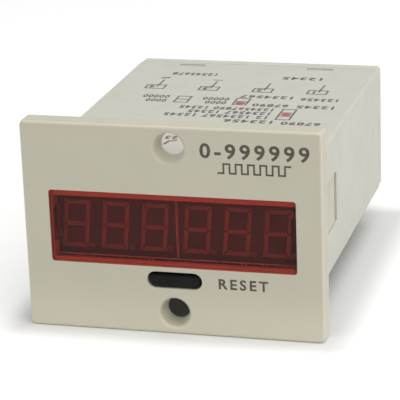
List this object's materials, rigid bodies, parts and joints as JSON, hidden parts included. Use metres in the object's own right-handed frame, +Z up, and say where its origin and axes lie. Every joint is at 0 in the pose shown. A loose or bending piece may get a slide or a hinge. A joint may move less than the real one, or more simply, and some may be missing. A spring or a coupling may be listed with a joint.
{
  "type": "panel counter",
  "caption": "Panel-mounting counting instrument with a red display window, a reset button, tapered screw holes in its bezel and screw terminals at the rear.",
  "frame": {"origin": "under the middle of the bounding box, at the height of the bezel's lower edge", "axes": "+X to the right seen from the front, +Y from the bezel's face into the panel, +Z up"},
  "size_m": [0.072, 0.092, 0.051],
  "materials": {
    "bezel_cream": "fine satin moulding, warm cream",
    "case_white": "fine satin moulding, off-white",
    "window_red": "polished transparent red",
    "face_black": "matt black",
    "segment_milk": "milky resin",
    "button_black": "satin black",
    "board_green": "solder resist over glass laminate",
    "chip_black": "moulded epoxy",
    "block_black": "moulded phenolic",
    "steel": "nickel-plated",
    "brass": "stamped",
    "core_steel": "varnished laminations",
    "winding_tape": "yellow film tape",
    "bobbin_nylon": "natural nylon",
    "sleeve_blue": "shrunk sleeve"
  },
  "bodies": {
    "case": {"front_bezel": "bezel_cream", "display_window": "window_red", "led_module_left": "face_black", "led_module_right": "face_black", "led_segments_left": "segment_milk", "led_segments_right": "segment_milk", "display_board": "board_green", "board_screw_1": "steel", "board_screw_2": "steel", "board_screw_3": "steel", "board_screw_4": "steel", "display_driver": "chip_black", "switch_body": "chip_black", "switch_cover": "steel", "housing": "case_white", "rear_cover": "case_white", "terminal_block": "block_black", "terminal_plate_1": "brass", "terminal_plate_2": "brass", "terminal_plate_3": "brass", "terminal_plate_4": "brass", "clamp_washer_1": "steel", "clamp_washer_2": "steel", "clamp_washer_3": "steel", "clamp_washer_4": "steel", "terminal_screw_1": "steel", "terminal_screw_2": "steel", "terminal_screw_3": "steel", "terminal_screw_4": "steel", "main_board": "board_green", "board_header": "chip_black", "transformer_core": "core_steel", "transformer_bobbin": "bobbin_nylon", "transformer_winding": "winding_tape", "filter_capacitor": "sleeve_blue", "output_capacitor": "sleeve_blue", "bridge_rectifier": "chip_black", "voltage_regulator": "chip_black", "counter_chip": "chip_black", "memory_chip": "chip_black", "optocoupler": "chip_black", "crystal": "steel"},
    "reset": {"reset_button": "button_black", "switch_plunger": "chip_black"}
  },
  "joints": [
    {"name": "reset_press", "type": "slide", "parent": "case", "child": "reset", "axis": [0, 1, 0], "range_m": [0, 0.0005], "stiffness_N_per_m": 2500}
  ]
}
